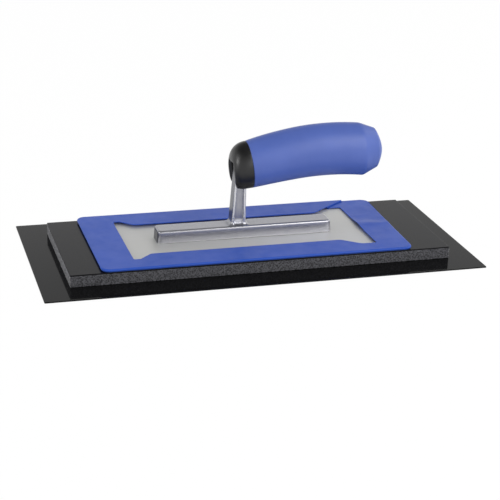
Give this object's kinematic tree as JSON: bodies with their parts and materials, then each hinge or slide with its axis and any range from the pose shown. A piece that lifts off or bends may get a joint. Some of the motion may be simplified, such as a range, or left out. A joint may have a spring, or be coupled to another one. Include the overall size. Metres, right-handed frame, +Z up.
{
  "type": "smoothing trowel",
  "caption": "Hand trowel with a wide flexible smoothing blade under a foam pad, a moulded carrier frame, a steel plate and a two-colour grip.",
  "frame": {"origin": "centre of the flexible blade's underside, in the middle of the whole tool's box", "axes": "+X along the blade, towards the handle's free end; +Y across the blade; +Z up, from the blade to the handle"},
  "size_m": [0.368, 0.174, 0.1059],
  "materials": {
    "blade_plastic": "gloss",
    "adhesive_film": "satin",
    "foam": "matte",
    "backing_sheet": "satin",
    "carrier_plastic": "satin",
    "steel_sheet": "brushed",
    "rivet_steel": "satin",
    "cast_aluminium": "polished",
    "soft_grip": "satin",
    "core_plastic": "satin",
    "zinc_steel": "satin",
    "plug_rubber": "matte"
  },
  "bodies": {
    "root": {"smoothing_blade": "blade_plastic", "blade_adhesive_film": "adhesive_film", "foam_pad": "foam", "pad_backing_sheet": "backing_sheet", "carrier_frame": "carrier_plastic", "carrier_adhesive_film": "adhesive_film", "steel_plate": "steel_sheet", "plate_rivets": "rivet_steel", "shank_casting": "cast_aluminium", "grip_sleeve": "soft_grip", "handle_core": "core_plastic", "screw_washer": "zinc_steel", "handle_screw": "zinc_steel", "handle_end_plug": "plug_rubber"}
  },
  "joints": []
}
